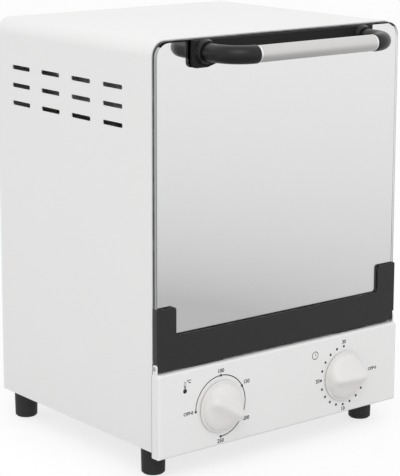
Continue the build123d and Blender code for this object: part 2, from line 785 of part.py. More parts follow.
# ---- Timer: a round clockwork body with a bush for its spindle, and its bell ----
bell_rim_y = panel_inside + timer_depth + bell_gap
bell_curve = (bell_radius**2 + bell_height**2) / (2 * bell_height)
bell_hollow = sqrt((bell_curve - sheet) ** 2 - bell_post_radius**2) - bell_curve + bell_height
with BuildPart() as timer_body:
    with BuildSketch(facing(panel_inside + timer_depth)):
        with Locations((timer_x, knob_z)):
            Circle(timer_radius)
    extrude(amount=timer_depth)
    fillet(timer_body.edges().sort_by(Axis.Y)[-1], timer_edge)
    with BuildSketch(facing(panel_inside)):
        with Locations((timer_x, knob_z)):
            Circle(bush_radius)
    extrude(amount=panel_sheet + bush_length)
    with BuildSketch(facing(panel_inside + bore_depth)):
        with Locations((timer_x, knob_z)):
            Circle(spindle_radius + spindle_running_clearance)
    extrude(amount=bore_depth + panel_sheet + bush_length, mode=Mode.SUBTRACT)
    with BuildSketch(facing(panel_inside + dial_screw_bite)):
        with Locations((timer_x, knob_z)):
            with GridLocations(dial_screw_spread, 1, 2, 1):
                Circle(dial_screw_radius)
    extrude(amount=dial_screw_bite, mode=Mode.SUBTRACT)
    with BuildSketch(facing(bell_rim_y + bell_hollow)):
        with Locations((timer_x, knob_z)):
            Circle(bell_post_radius)
    extrude(amount=bell_gap + bell_hollow)
save(timer_body.part, "timer_body")
bell_origin = (timer_x, bell_rim_y, knob_z)
with BuildPart() as timer_bell:
    with BuildSketch(Plane(origin=bell_origin, x_dir=(1, 0, 0), z_dir=(0, 0, 1))):
        with Locations((0, bell_height - bell_curve)):
            Circle(bell_curve)
            Circle(bell_curve - sheet, mode=Mode.SUBTRACT)
        Rectangle(bell_radius, bell_height, align=(Align.MIN, Align.MIN), mode=Mode.INTERSECT)
    revolve(axis=Axis(bell_origin, (0, 1, 0)))
save(timer_bell.part, "timer_bell")

# ---- Dial screws: hold thermostat and timer to the panel, hidden under the knobs ----
with BuildPart() as dial_screws:
    with BuildSketch(facing(panel_front)):
        add(dial_screw_pattern(dial_screw_head_radius))
    extrude(amount=dial_screw_head)
    with BuildSketch(facing(panel_inside + dial_screw_bite)):
        add(dial_screw_pattern(dial_screw_radius))
    extrude(amount=dial_screw_bite + panel_sheet)
save(dial_screws.part, "dial_screws")

# ---- Knobs: a hollow round body with a thin flange, scooped on both sides of a rounded grip ----
bore_roof = bush_length + spindle_end_gap + spindle_grip
knob_inside = knob_foot_radius - knob_wall
for knob_name, knob_x, pointer in (
    ("temperature_knob", thermostat_x, temperature_pointer),
    ("timer_knob", timer_x, timer_pointer),
):
    knob_origin = Vector(knob_x, panel_front, knob_z)
    along_grip = Vector(sin(radians(pointer)), 0, cos(radians(pointer)))
    across_grip = Vector(-cos(radians(pointer)), 0, sin(radians(pointer)))
    with BuildPart() as knob:
        with BuildSketch(Plane(origin=knob_origin, x_dir=(1, 0, 0), z_dir=(0, 0, -1))) as body:
            with BuildLine():
                Polyline(
                    (0, knob_total_height),
                    (0, knob_roof),
                    (knob_inside, knob_roof),
                    (knob_inside, knob_gap),
                    (knob_radius, knob_gap),
                    (knob_radius, knob_gap + knob_flange),
                    (knob_foot_radius, knob_gap + knob_flange),
                    (knob_face_radius, knob_total_height),
                    close=True,
                )
            make_face()
            fillet(body.vertices().group_by(Axis.Y)[-1].sort_by(Axis.X)[-1], knob_edge)
        revolve(axis=Axis(knob_origin, (0, -1, 0)))
        with BuildSketch(Plane(origin=knob_origin, x_dir=across_grip, z_dir=along_grip)):
            with BuildLine():
                Spline(
                    (0, knob_total_height),
                    (knob_grip_half, knob_total_height - knob_grip_drop),
                    (knob_flank_half, knob_flank_height),
                    (knob_lobe_half, knob_lobe_height),
                    (knob_radius, knob_rim_height),
                    tangents=((1, 0), (1, -0.3)),
                )
                Polyline(
                    (knob_radius, knob_rim_height),
                    (knob_radius, 2 * knob_total_height),
                    (0, 2 * knob_total_height),
                )
                mirror(about=Plane.YZ)
            make_face()
        extrude(amount=knob_radius, both=True, mode=Mode.SUBTRACT)
        with BuildSketch(facing(panel_front - bush_length - spindle_end_gap)):
            with Locations((knob_x, knob_z)):
                Circle(knob_boss_radius)
        extrude(amount=knob_roof - bush_length - spindle_end_gap)
        with BuildSketch(facing(panel_front - bush_length - spindle_end_gap)):
            with Locations((knob_x, knob_z)):
                Circle(spindle_radius)
        extrude(amount=spindle_grip, mode=Mode.SUBTRACT)
    save(knob.part, knob_name)

# ---- Spindles: turn in the bushes and drive thermostat and timer ----
for spindle_name, spindle_x in (("thermostat_spindle", thermostat_x), ("timer_spindle", timer_x)):
    with BuildPart() as spindle:
        with BuildSketch(facing(panel_inside + bore_depth - spindle_end_gap)):
            with Locations((spindle_x, knob_z)):
                Circle(spindle_radius)
        extrude(amount=bore_depth - spindle_end_gap + panel_sheet + bore_roof)
    save(spindle.part, spindle_name)

# ---- Door glass: a mirror pane, drilled for the handle and cut away round the hinge pins ----
handle_post_x = handle_span / 2
with BuildPart() as door_glass:
    with BuildSketch(facing(glass_rear)) as pane:
        with Locations((0, (glass_bottom + glass_top) / 2)):
            Rectangle(case_width, glass_top - glass_bottom)
        fillet(pane.vertices().group_by(Axis.Y)[-1], case_top_radius)
        for side in (-1, 1):
            with Locations((side * half_width, glass_bottom)):
                Rectangle(
                    2 * (half_width - pocket_half),
                    2 * (pocket_top - glass_bottom),
                    mode=Mode.SUBTRACT,
                )
        with Locations((0, handle_z)):
            with GridLocations(handle_span, 1, 2, 1):
                Circle(handle_screw_radius + handle_screw_clearance, mode=Mode.SUBTRACT)
    extrude(amount=glass_thickness)
    for side_face in (door_glass.faces().sort_by(Axis.Y)[0], door_glass.faces().sort_by(Axis.Y)[-1]):
        chamfer(side_face.outer_wire().edges(), glass_edge)
save(door_glass.part, "door_glass")

# ---- Door bracket: a black folded channel round the pane's foot, with a raised horn at each end ----
horn_top = door_bottom + bracket_horn
horn_inner = half_width + bracket_sheet - bracket_horn_width
with BuildSketch() as bracket_face:
    with BuildLine() as bracket_half:
        Polyline(
            (0, door_bottom),
            (foot_half, door_bottom),
            (foot_half, pocket_top),
            (half_width + bracket_sheet, pocket_top),
            (half_width + bracket_sheet, horn_top),
            (horn_inner, horn_top),
            (horn_inner, door_bottom + bracket_band),
            (0, door_bottom + bracket_band),
        )
        mirror(about=Plane.YZ)
    make_face()
    horn_reach = horn_inner + least_bend
    inner_corners = bracket_face.vertices().filter_by_position(Axis.X, -horn_reach, horn_reach)
    fillet(
        inner_corners.filter_by_position(Axis.Y, door_bottom + least_bend, horn_top + least_bend),
        bracket_horn_radius,
    )
with BuildPart() as door_bracket:
    with BuildSketch(facing(glass_front)):
        add(bracket_face.sketch)
        for side in (-1, 1):
            lobe_middle = side * (bracket_lobe_inner + bracket_lobe_outer) / 2
            with Locations((lobe_middle, door_bottom)):
                Rectangle(bracket_lobe_outer - bracket_lobe_inner, 2 * bracket_lobe_depth)
    extrude(amount=bracket_sheet)
    with BuildSketch(facing(lip_rear)):
        add(bracket_face.sketch)
        with Locations((0, door_bottom + bracket_lip)):
            Rectangle(2 * horn_inner, bracket_horn, align=(Align.CENTER, Align.MIN), mode=Mode.SUBTRACT)
    extrude(amount=bracket_sheet)
    with BuildSketch(Plane.XY.offset(door_bottom)):
        with Locations((0, hinge_y)):
            Rectangle(2 * foot_half, lip_rear - bracket_front)
    extrude(amount=bracket_sheet)
    for side in (-1, 1):
        with BuildSketch(Plane.YZ.offset(side * half_width)):
            with Locations((hinge_y, (pocket_top + horn_top) / 2)):
                Rectangle(lip_rear - bracket_front, horn_top - pocket_top)
        extrude(amount=side * bracket_sheet)
        with BuildSketch(Plane.YZ.offset(side * foot_half)):
            with Locations((hinge_y, (door_bottom + pocket_top) / 2)):
                Rectangle(lip_rear - bracket_front, pocket_top - door_bottom)
            with Locations((hinge_y, hinge_z)):
                Circle(hinge_pin_radius, mode=Mode.SUBTRACT)
        extrude(amount=-side * bracket_sheet)
save(door_bracket.part, "door_bracket")

# ---- Hinge pins: headed pins through the ears, fixed in the bracket's end plates ----
for side, pin_name in ((-1, "hinge_pin_left"), (1, "hinge_pin_right")):
    with BuildPart() as hinge_pin:
        with BuildSketch(Plane.YZ.offset(side * pocket_half)):
            with Locations((hinge_y, hinge_z)):
                Circle(hinge_pin_radius)
        extrude(amount=side * (panel_half + hinge_running_clearance - pocket_half))
        with BuildSketch(Plane.YZ.offset(side * (panel_half + hinge_running_clearance))):
            with Locations((hinge_y, hinge_z)):
                Circle(hinge_head_radius)
        extrude(amount=side * hinge_head)
    save(hinge_pin.part, pin_name)

# ---- Handle base: a moulded strip on the pane, deeper where the two elbows stand ----
strip_top = glass_top - handle_base_top
strip_half = handle_post_x + handle_base_overhang
pad_inner = strip_half - handle_pad_length
with BuildPart() as handle_base:
    with BuildSketch(facing(glass_front)) as strip:
        with BuildLine():
            Polyline(
                (0, strip_top),
                (strip_half, strip_top),
                (strip_half, strip_top - handle_pad_height),
                (pad_inner, strip_top - handle_pad_height),
                (pad_inner - handle_pad_slope, strip_top - handle_strip_height),
                (0, strip_top - handle_strip_height),
            )
            mirror(about=Plane.YZ)
        make_face()
        fillet(strip.vertices().group_by(Axis.Y)[0].sort_by(Axis.X)[0], handle_pad_radius)
        fillet(strip.vertices().group_by(Axis.Y)[0].sort_by(Axis.X)[-1], handle_pad_radius)
        with Locations((0, handle_z)):
            with GridLocations(handle_span, 1, 2, 1):
                Circle(handle_screw_radius + handle_screw_clearance, mode=Mode.SUBTRACT)
    extrude(amount=handle_base_thickness)
    fillet(handle_base.faces().sort_by(Axis.Y)[0].outer_wire().edges(), handle_base_edge)
save(handle_base.part, "handle_base")

# ---- Handle ends: moulded elbows with a collar, a spigot for the bar and a hole for the screw ----
bar_half = handle_post_x - handle_bend - elbow_tail
for side, end_name in ((-1, "handle_end_left"), (1, "handle_end_right")):
    with BuildPart() as handle_end:
        with BuildLine() as elbow_line:
            FilletPolyline(
                (side * handle_post_x, base_front, handle_z),
                (side * handle_post_x, bar_y, handle_z),
                (side * bar_half, bar_y, handle_z),
                radius=handle_bend,
            )
        with BuildSketch(Plane(origin=elbow_line.line @ 0, z_dir=(0, -1, 0))):
            Circle(elbow_radius)
        sweep()
        fillet(handle_end.faces().filter_by(Axis.X).edges(), handle_end_edge)
        with BuildSketch(facing(base_front)):
            with Locations((side * handle_post_x, handle_z)):
                Circle(collar_radius)
        extrude(amount=collar_thickness, taper=collar_taper)
        with BuildSketch(Plane.YZ.offset(side * bar_half)):
            with Locations((bar_y, handle_z)):
                Circle(bar_radius - bar_wall - spigot_clearance)
        extrude(amount=-side * spigot_length)
        with BuildSketch(facing(base_front)):
            with Locations((side * handle_post_x, handle_z)):
                Circle(handle_screw_radius)
        extrude(amount=handle_screw_bite, mode=Mode.SUBTRACT)
    save(handle_end.part, end_name)

# ---- Handle bar: an aluminium tube between the elbows ----
with BuildPart() as handle_bar:
    with BuildSketch(Plane.YZ):
        with Locations((bar_y, handle_z)):
            Circle(bar_radius)
            Circle(bar_radius - bar_wall, mode=Mode.SUBTRACT)
    extrude(amount=bar_half, both=True)
save(handle_bar.part, "handle_bar")

# ---- Handle screws and washers: from behind the pane into the elbows ----
washer_rear = glass_rear + washer_thickness
with BuildPart() as handle_washers:
    with BuildSketch(facing(washer_rear)):
        with Locations((0, handle_z)):
            with GridLocations(handle_span, 1, 2, 1):
                Circle(washer_radius)
                Circle(handle_screw_radius, mode=Mode.SUBTRACT)
    extrude(amount=washer_thickness)
save(handle_washers.part, "handle_washers")
with BuildPart() as handle_screws:
    with BuildSketch(facing(washer_rear + handle_screw_head)):
        with Locations((0, handle_z)):
            with GridLocations(handle_span, 1, 2, 1):
                Circle(handle_screw_head_radius)
    extrude(amount=handle_screw_head)
    with BuildSketch(facing(washer_rear)):
        with Locations((0, handle_z)):
            with GridLocations(handle_span, 1, 2, 1):
                Circle(handle_screw_radius)
    extrude(amount=washer_rear - base_front + handle_screw_bite)
save(handle_screws.part, "handle_screws")

# ---- Wire rack: a rounded frame wire in the ledges, with rods welded across its top ----
rack_half = chamber_half - rack_side_clearance - rack_wire_radius
rack_front_y = frame_rear + rack_front_margin
rack_rear_y = chamber_back_y - rack_rear_margin
wire_depth = rack_side_clearance + rack_wire_radius
wire_rise = rack_wire_radius / cos(radians(ledge_slope)) - wire_depth * tan(radians(ledge_slope))
rack_ledge_z = chamber_floor_z + ledge_first + rack_ledge * ledge_pitch
rack_z = rack_ledge_z + ledge_half_height + wire_rise + rack_seat_clearance
rod_z = rack_z + rack_wire_radius + rack_rod_radius - rack_rod_sink
rod_pitch = 2 * (rack_half - rack_corner) / (rack_rod_count - 1)
with BuildPart() as wire_rack:
    with BuildLine() as rack_line:
        FilletPolyline(
            (0, rack_front_y, rack_z),
            (rack_half, rack_front_y, rack_z),
            (rack_half, rack_rear_y, rack_z),
            (0, rack_rear_y, rack_z),
            radius=rack_corner,
        )
    with BuildSketch(Plane(origin=rack_line.line @ 0, z_dir=(1, 0, 0))):
        Circle(rack_wire_radius)
    sweep()
    mirror(about=Plane.YZ)
    with BuildSketch(facing(rack_rear_y + rack_wire_radius)):
        with Locations((0, rod_z)):
            with GridLocations(rod_pitch, 1, rack_rod_count, 1):
                Circle(rack_rod_radius)
    extrude(amount=rack_rear_y - rack_front_y + 2 * rack_wire_radius)
save(wire_rack.part, "wire_rack")

# ---- Instrument tray: a shallow drafted pan with a turned-down rim, on the rack's rods ----
tray_z = rod_z + rack_rod_radius
tray_top = tray_z + tray_height
tray_spread = 2 * tray_height * tan(radians(tray_draft))
tray_y = rack_rear_y - tray_rear_margin - tray_rim - (tray_depth + tray_spread) / 2
with BuildPart() as instrument_tray:
    with BuildSketch(Plane.XY.offset(tray_z)):
        with Locations((0, tray_y)):
            RectangleRounded(tray_width, tray_depth, tray_corner)
    extrude(amount=tray_height, taper=-tray_draft)
    with BuildSketch(Plane.XY.offset(tray_top)):
        with Locations((0, tray_y)):
            RectangleRounded(
                tray_width + tray_spread + 2 * tray_rim,
                tray_depth + tray_spread + 2 * tray_rim,
                tray_corner + tray_rim,
            )
    extrude(amount=-tray_lip)
    with BuildSketch(Plane.XY.offset(tray_top - tray_sheet)):
        with Locations((0, tray_y)):
            RectangleRounded(
                tray_width + tray_spread + 2 * (tray_rim - tray_sheet),
                tray_depth + tray_spread + 2 * (tray_rim - tray_sheet),
                tray_corner + tray_rim - tray_sheet,
            )
            RectangleRounded(
                tray_width + tray_spread + 2 * tray_groove_land,
                tray_depth + tray_spread + 2 * tray_groove_land,
                tray_corner,
                mode=Mode.SUBTRACT,
            )
    extrude(amount=-tray_lip, mode=Mode.SUBTRACT)
    with BuildSketch(Plane.XY.offset(tray_z + tray_sheet)):
        with Locations((0, tray_y)):
            RectangleRounded(
                tray_width - 2 * tray_sheet,
                tray_depth - 2 * tray_sheet,
                tray_corner - tray_sheet,
            )
    extrude(amount=tray_height, taper=-tray_draft, mode=Mode.SUBTRACT)
save(instrument_tray.part, "instrument_tray")
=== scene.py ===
"""A small upright dry heat sterilizer, finished piece by piece in the order it is put together."""

from itertools import product
from math import cos, pi, radians, sin

import bmesh
import bpy
from mathutils import Matrix, Vector


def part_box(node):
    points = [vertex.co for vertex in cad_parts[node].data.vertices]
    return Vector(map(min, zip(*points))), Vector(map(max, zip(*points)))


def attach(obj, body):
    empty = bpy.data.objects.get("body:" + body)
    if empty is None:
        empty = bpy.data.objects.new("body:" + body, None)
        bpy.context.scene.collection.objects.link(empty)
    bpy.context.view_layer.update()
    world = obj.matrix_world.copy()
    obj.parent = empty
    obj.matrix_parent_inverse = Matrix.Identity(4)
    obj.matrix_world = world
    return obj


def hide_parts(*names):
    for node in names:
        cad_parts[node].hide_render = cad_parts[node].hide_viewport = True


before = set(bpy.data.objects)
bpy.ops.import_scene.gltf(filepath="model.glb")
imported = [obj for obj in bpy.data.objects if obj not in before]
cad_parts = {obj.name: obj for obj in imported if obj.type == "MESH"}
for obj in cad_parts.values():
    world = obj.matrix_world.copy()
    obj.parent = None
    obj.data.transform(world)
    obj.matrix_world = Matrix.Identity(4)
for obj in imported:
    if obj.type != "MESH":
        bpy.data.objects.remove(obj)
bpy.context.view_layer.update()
scene = bpy.context.scene


# ---- White enamel: case shell, back panel and control panel ----
# Folded steel sheet, sprayed white and baked. The paint lies smooth, with the faint ripple of a
# spray gun. Where the panel meets the case, painted shade draws the narrow gap as a fine dark line.
class Wire:
    """An output socket. Arithmetic on it adds Math nodes to the tree that it stands in."""

    def __init__(self, board, socket):
        self.board = board
        self.socket = socket

    def other(self, name):
        """Another output of the same node."""
        return Wire(self.board, self.socket.node.outputs[name])

    def math(self, operation, *values):
        return self.board.node("ShaderNodeMath", {"operation": operation}, dict(enumerate(values)))

    def __add__(self, value):
        return self.math("ADD", self, value)

    def __radd__(self, value):
        return self.math("ADD", value, self)

    def __sub__(self, value):
        return self.math("SUBTRACT", self, value)

    def __rsub__(self, value):
        return self.math("SUBTRACT", value, self)

    def __mul__(self, value):
        return self.math("MULTIPLY", self, value)

    def __rmul__(self, value):
        return self.math("MULTIPLY", value, self)

    def __truediv__(self, value):
        return self.math("DIVIDE", self, value)

    def __gt__(self, value):
        return self.math("GREATER_THAN", self, value)

    def __abs__(self):
        return self.math("ABSOLUTE", self)


class Board:
    """A node tree that is being wired."""

    def __init__(self, tree):
        self.tree = tree

    def plug(self, value, socket):
        """Links a wire to a socket, or sets the socket to a value."""
        if isinstance(value, Wire):
            self.tree.links.new(value.socket, socket)
        else:
            socket.default_value = value

    def node(self, kind, settings=None, sockets=None, out=0):
        """Adds a node, with its settings first, then its sockets' values or links."""
        node = self.tree.nodes.new(kind)
        for name, value in (settings or {}).items():
            setattr(node, name, value)
        for key, value in (sockets or {}).items():
            self.plug(value, node.inputs[key])
        return Wire(self, node.outputs[out])


class Finish(Board):
    """A surface finish: a Principled shader and what varies over it."""

    def __init__(self, name, **sockets):
        self.material = bpy.data.materials.new(name)
        self.material.use_nodes = True
        super().__init__(self.material.node_tree)
        self.surface = self.tree.nodes["Principled BSDF"]
        self.set(**sockets)

    def set(self, **sockets):
        for name, value in sockets.items():
            self.plug(value, self.surface.inputs[name.replace("_", " ")])

    def under(self, name):
        """What feeds a socket of the shader so far."""
        return Wire(self, self.surface.inputs[name].links[0].from_socket)

    def parts_of(self, coordinate):
        """The X, Y and Z of Object, which is the place in metres, or of Normal."""
        whole = self.node("ShaderNodeTexCoord", out=coordinate)
        parts = self.node("ShaderNodeSeparateXYZ", {}, {"Vector": whole})
        return [parts.other(axis) for axis in "XYZ"]

    def grain(self, size, stretch=(1, 1, 1), detail=2.0, roughness=0.5):
        """Noise with patches of that size in metres, drawn out along the axes by stretch."""
        place = self.node("ShaderNodeTexCoord", out="Object")
        scale = [1 / part for part in stretch]
        place = self.node("ShaderNodeMapping", {}, {"Vector": place, "Scale": scale})
        sockets = {"Vector": place, "Scale": 1 / size, "Detail": detail, "Roughness": roughness}
        return self.node("ShaderNodeTexNoise", {}, sockets)

    def between(self, mask, low, high):
        """A value that goes from low to high as the mask goes from 0 to 1."""
        return mask * (high - low) + low

    def mix(self, mask, first, second):
        """A colour that goes from the first to the second as the mask goes from 0 to 1."""
        sockets = {0: mask, 6: first, 7: second}
        return self.node("ShaderNodeMix", {"data_type": "RGBA"}, sockets, out=2)

    def relief(self, height, depth, strength=1.0):
        """Lets the height, from 0 to 1, stand out of the surface by depth in metres."""
        sockets = {"Height": height, "Distance": depth, "Strength": strength}
        self.set(Normal=self.node("ShaderNodeBump", {}, sockets))


def grey(level, warmth=0.0):
    """A neutral colour, a little warmer or, below zero, cooler."""
    return (level * (1 + warmth), level, level * (1 - warmth), 1.0)


def dress(finish, *names):
    """Gives the finish to the CAD nodes of those names."""
    for name in names:
        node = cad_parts[name]
        node.data.materials.clear()
        node.data.materials.append(finish.material)


def enamel(name, colour, worn, roughness, gloss=1.5):
    """Baked paint: handled patches that differ a little, and the ripple of the spray."""
    paint = Finish(name, IOR=gloss)
    handled = paint.grain(size=0.09, detail=4.0)
    ripple = paint.grain(size=0.0016, detail=1.0)
    speck = paint.grain(size=0.0007, detail=1.0)
    paint.set(Base_Color=paint.mix(handled, colour, worn))
    paint.set(Roughness=paint.between(handled, roughness, roughness + 0.1) + speck * 0.04)
    paint.relief(ripple + speck * 0.3, depth=0.00003, strength=0.35)
    return paint


white_enamel = enamel("white_enamel", grey(0.845, 0.002), grey(0.83, 0.005), roughness=0.3)
panel_rear, panel_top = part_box("control_panel")[1].yz
gap_shade_reach = 0.0006
_, y, z = white_enamel.parts_of("Object")
# painted shade: the enamel is darkened within 0.6 mm of the panel's rear edge, below its top, for the gap
painted_gap_shade = (gap_shade_reach - abs(y - panel_rear) > 0.0) * (panel_top - z > 0.0)
painted = white_enamel.under("Base Color")
white_enamel.set(Base_Color=white_enamel.mix(painted_gap_shade, painted, grey(0.42)))
dress(white_enamel, "case_shell", "back_panel", "control_panel")


# ---- Plain sheet work: base plate, front frame, heat shield and rear supports ----
# Zinc-coated steel as it comes from the coil: grey crystals a few millimetres across, duller and
# brighter by turns, with the fine scratches of folding.
zinc_sheet = Finish("zinc_sheet", Metallic=1.0)
crystals_per_metre = 180.0
place = zinc_sheet.node("ShaderNodeTexCoord", out="Object")
sockets = {"Vector": place, "Scale": crystals_per_metre}
crystal = zinc_sheet.node("ShaderNodeTexVoronoi", {}, sockets, out="Color")
shade = zinc_sheet.node("ShaderNodeSeparateColor", {}, {"Color": crystal})
scratch = zinc_sheet.grain(size=0.0006, stretch=(40, 1, 1), detail=3.0)
zinc_sheet.set(Base_Color=zinc_sheet.mix(shade, grey(0.56), grey(0.7, -0.01)))
zinc_sheet.set(Roughness=zinc_sheet.between(shade, 0.34, 0.5) + scratch * 0.08)
zinc_sheet.relief(scratch, depth=0.00002, strength=0.3)
dress(zinc_sheet, "base_plate", "front_frame", "heat_shield")
dress(zinc_sheet, "rear_support_left", "rear_support_right")


# ---- Chamber: walls with pressed ledges, ceiling, floor and back ----
# Stainless sheet with a dull rolled face. The fine lines run from front to rear, and the heat of
# the tubes has left a faint straw tint.
def rolled(name, colour, tint, lines, roughness):
    """Rolled metal: fine lines along one axis and patches of a second colour."""
    face = Finish(name, Metallic=1.0)
    stroke = face.grain(size=0.0004, stretch=lines, detail=3.0, roughness=0.6)
    patch = face.grain(size=0.06, detail=3.0)
    face.set(Base_Color=face.mix(patch, colour, tint))
    face.set(Roughness=face.between(stroke, roughness - 0.06, roughness + 0.08))
    face.relief(stroke, depth=0.00002, strength=0.4)
    return face


stainless = rolled("stainless_sheet", grey(0.46), grey(0.42, 0.05), lines=(1, 60, 1), roughness=0.36)
dress(stainless, "chamber_wall_left", "chamber_wall_right")
dress(stainless, "chamber_ceiling", "chamber_floor", "chamber_back")


# ---- Heaters and their ceramic caps ----
# Steel-sheathed tubes, blued and browned by heat, in stepped bushes of unglazed steatite that
# keep them off the sheet.
sheath = Finish("heater_sheath", Metallic=1.0)
heat_band = sheath.grain(size=0.02, stretch=(3, 1, 1), detail=4.0)
sheath.set(Base_Color=sheath.mix(heat_band, grey(0.2, 0.12), grey(0.3, -0.06)))
sheath.set(Roughness=sheath.between(heat_band, 0.42, 0.6))
sheath.relief(sheath.grain(size=0.0008, detail=3.0), depth=0.00004, strength=0.4)
dress(sheath, "upper_heater_front", "upper_heater_rear", "lower_heater_front", "lower_heater_rear")

steatite = Finish("steatite", IOR=1.5)
fired_cloud = steatite.grain(size=0.004, detail=4.0)
steatite.set(Base_Color=steatite.mix(fired_cloud, grey(0.78, 0.06), grey(0.66, 0.1)))
steatite.set(Roughness=steatite.between(fired_cloud, 0.7, 0.85))
steatite.relief(steatite.grain(size=0.0004, detail=3.0), depth=0.00005, strength=0.5)
dress(steatite, "heater_caps_left", "heater_caps_right")


# ---- Controls behind the panel: thermostat, timer, bell and terminal block ----
# The thermostat's body and the terminal block are moulded in pale heat-proof resin. The timer is
# a plated drum with a small steel bell, and both spindles are turned steel.
resin = Finish("pale_resin", IOR=1.5)
resin_cloud = resin.grain(size=0.006, detail=3.0)
resin.set(Base_Color=resin.mix(resin_cloud, grey(0.6, 0.06), grey(0.52, 0.09)))
resin.set(Roughness=resin.between(resin_cloud, 0.45, 0.57))
resin.relief(resin.grain(size=0.0005, detail=2.0), depth=0.00002, strength=0.5)
dress(resin, "thermostat_body", "terminal_block")

turned_steel = rolled("turned_steel", grey(0.62), grey(0.56, 0.03), lines=(1, 30, 1), roughness=0.28)
dress(turned_steel, "timer_body", "timer_bell", "thermostat_spindle", "timer_spindle")


# ---- Screws: small plated pan heads with a cross recess ----
# They hold the back panel, the feet, the control panel and the dials. Each is a low dome on a
# plain shank, pressed with a cross, and plated bright.
screw_plate = rolled("screw_plate", grey(0.6), grey(0.52, 0.02), lines=(1, 1, 1), roughness=0.3)


def start_tree(name, *ports):
    """An empty tree of geometry nodes with those named inputs. Gives its board and its inputs."""
    tree = bpy.data.node_groups.new(name, "GeometryNodeTree")
    for port, kind in (("Geometry", "Geometry"), *ports):
        tree.interface.new_socket(port, in_out="INPUT", socket_type=f"NodeSocket{kind}")
    tree.interface.new_socket("Geometry", in_out="OUTPUT", socket_type="NodeSocketGeometry")
    board = Board(tree)
    return board, board.node("NodeGroupInput")


def end_tree(board, pieces, material):
    """Makes the pieces real, gives them their material and hands them out of the tree."""
    joined = board.node("GeometryNodeJoinGeometry")
    for piece in pieces:
        board.plug(piece, joined.socket.node.inputs[0])
    real = board.node("GeometryNodeRealizeInstances", {}, {"Geometry": joined})
    done = board.node("GeometryNodeSetMaterial", {}, {"Geometry": real, "Material": material})
    board.plug(done, board.tree.nodes.new("NodeGroupOutput").inputs[0])
    return board.tree


def grow(name, tree, sizes, points=(), edges=()):
    """Runs the tree on the points and edges with those sizes. Keeps the result as a plain mesh."""
    seed = bpy.data.meshes.new(name)
    seed.from_pydata(points, edges, [])
    piece = bpy.data.objects.new(name, seed)
    scene.collection.objects.link(piece)
    modifier = piece.modifiers.new(name, "NODES")
    modifier.node_group = tree
    for port in tree.interface.items_tree:
        if port.in_out == "INPUT" and port.name in sizes:
            modifier[port.identifier] = sizes[port.name]
    grown = piece.evaluated_get(bpy.context.evaluated_depsgraph_get())
    mesh = bpy.data.meshes.new_from_object(grown)
    piece.modifiers.remove(modifier)
    piece.data = mesh
    return piece


def xyz(board, x, y, z):
    """A vector from three values or wires."""
    return board.node("ShaderNodeCombineXYZ", {}, {"X": x, "Y": y, "Z": z})


def screw_tree():
    """Screws on the points, their heads towards Facing and their shanks the other way."""
    board, given = start_tree(
        "cross_head_screws",
        ("Facing", "Vector"),
        ("Head Radius", "Float"),
        ("Head Height", "Float"),
        ("Shank Radius", "Float"),
        ("Shank Length", "Float"),
        ("Recess Width", "Float"),
        ("Plating", "Material"),
    )
    head_radius = given.other("Head Radius")
    head_height = given.other("Head Height")
    recess_length = head_radius * 1.15
    sockets = {"Segments": 28, "Rings": 20, "Radius": head_radius}
    dome = board.node("GeometryNodeMeshUVSphere", {}, sockets)
    flatten = xyz(board, 1.0, 1.0, head_height / head_radius)
    dome = board.node("GeometryNodeTransform", {}, {"Geometry": dome, "Scale": flatten})
    below = xyz(board, head_radius * 3, head_radius * 3, head_height * 2)
    bar = xyz(board, recess_length, given.other("Recess Width"), head_height)
    cutters = [(below, head_height * -1, 0.0), (bar, head_height, 0.0), (bar, head_height, pi / 2)]
    for size, rise, turn in cutters:
        cutter = board.node("GeometryNodeMeshCube", {}, {"Size": size})
        lift = xyz(board, 0.0, 0.0, rise)
        sockets = {"Geometry": cutter, "Translation": lift, "Rotation": (0, 0, turn)}
        cutter = board.node("GeometryNodeTransform", {}, sockets)
        settings = {"operation": "DIFFERENCE", "solver": "EXACT"}
        dome = board.node("GeometryNodeMeshBoolean", settings, {0: dome, 1: cutter})
    length = given.other("Shank Length")
    sockets = {"Vertices": 20, "Radius": given.other("Shank Radius"), "Depth": length}
    shank = board.node("GeometryNodeMeshCylinder", {}, sockets)
    drop = xyz(board, 0.0, 0.0, length * -0.5)
    shank = board.node("GeometryNodeTransform", {}, {"Geometry": shank, "Translation": drop})
    screw = board.node("GeometryNodeJoinGeometry")
    for piece in (shank, dome):
        board.plug(piece, screw.socket.node.inputs[0])
    sockets = {"Vector": given.other("Facing")}
    upright = board.node("FunctionNodeAlignRotationToVector", {"axis": "Z"}, sockets)
    sockets = {"Points": given, "Instance": screw, "Rotation": upright}
    screws = board.node("GeometryNodeInstanceOnPoints", {}, sockets)
    return end_tree(board, [screws], given.other("Plating"))


screws_on = screw_tree()


def inset(node, axis, amount):
    """Two places on an axis that lie that far inside the node's box."""
    low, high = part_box(node)
    return low[axis] + amount, high[axis] - amount


def fit_screws(node, body, facing, head, spots, shank_radius, recess):
    """Screws that stand for a CAD node. Head is radius and height, and spots are the places on
    the two axes across Facing."""
    low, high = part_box(node)
    axis = next(index for index, part in enumerate(facing) if part)
    top, end = (high[axis], low[axis]) if facing[axis] > 0 else (low[axis], high[axis])
    head_radius, head_height = head
    seat = top - facing[axis] * head_height
    places = [(*spot[:axis], seat, *spot[axis:]) for spot in spots]
    sizes = {
        "Facing": facing,
        "Head Radius": head_radius,
        "Head Height": head_height,
        "Shank Radius": shank_radius,
        "Shank Length": abs(seat - end),
        "Recess Width": recess,
        "Plating": screw_plate.material,
    }
    screws = grow(f"{node}_cross_head", screws_on, sizes, places)
    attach(screws, body)
    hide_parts(node)


rearward, forward, downward = (0, 1, 0), (0, -1, 0), (0, 0, -1)
back_head = (0.003, 0.0018)
sides = inset("back_screws", 0, back_head[0])
lowest, highest = inset("back_screws", 2, back_head[0])
spots = list(product(sides, (lowest, (lowest + highest) / 2, highest)))
fit_screws("back_screws", "cabinet", rearward, back_head, spots, shank_radius=0.0015, recess=0.0009)

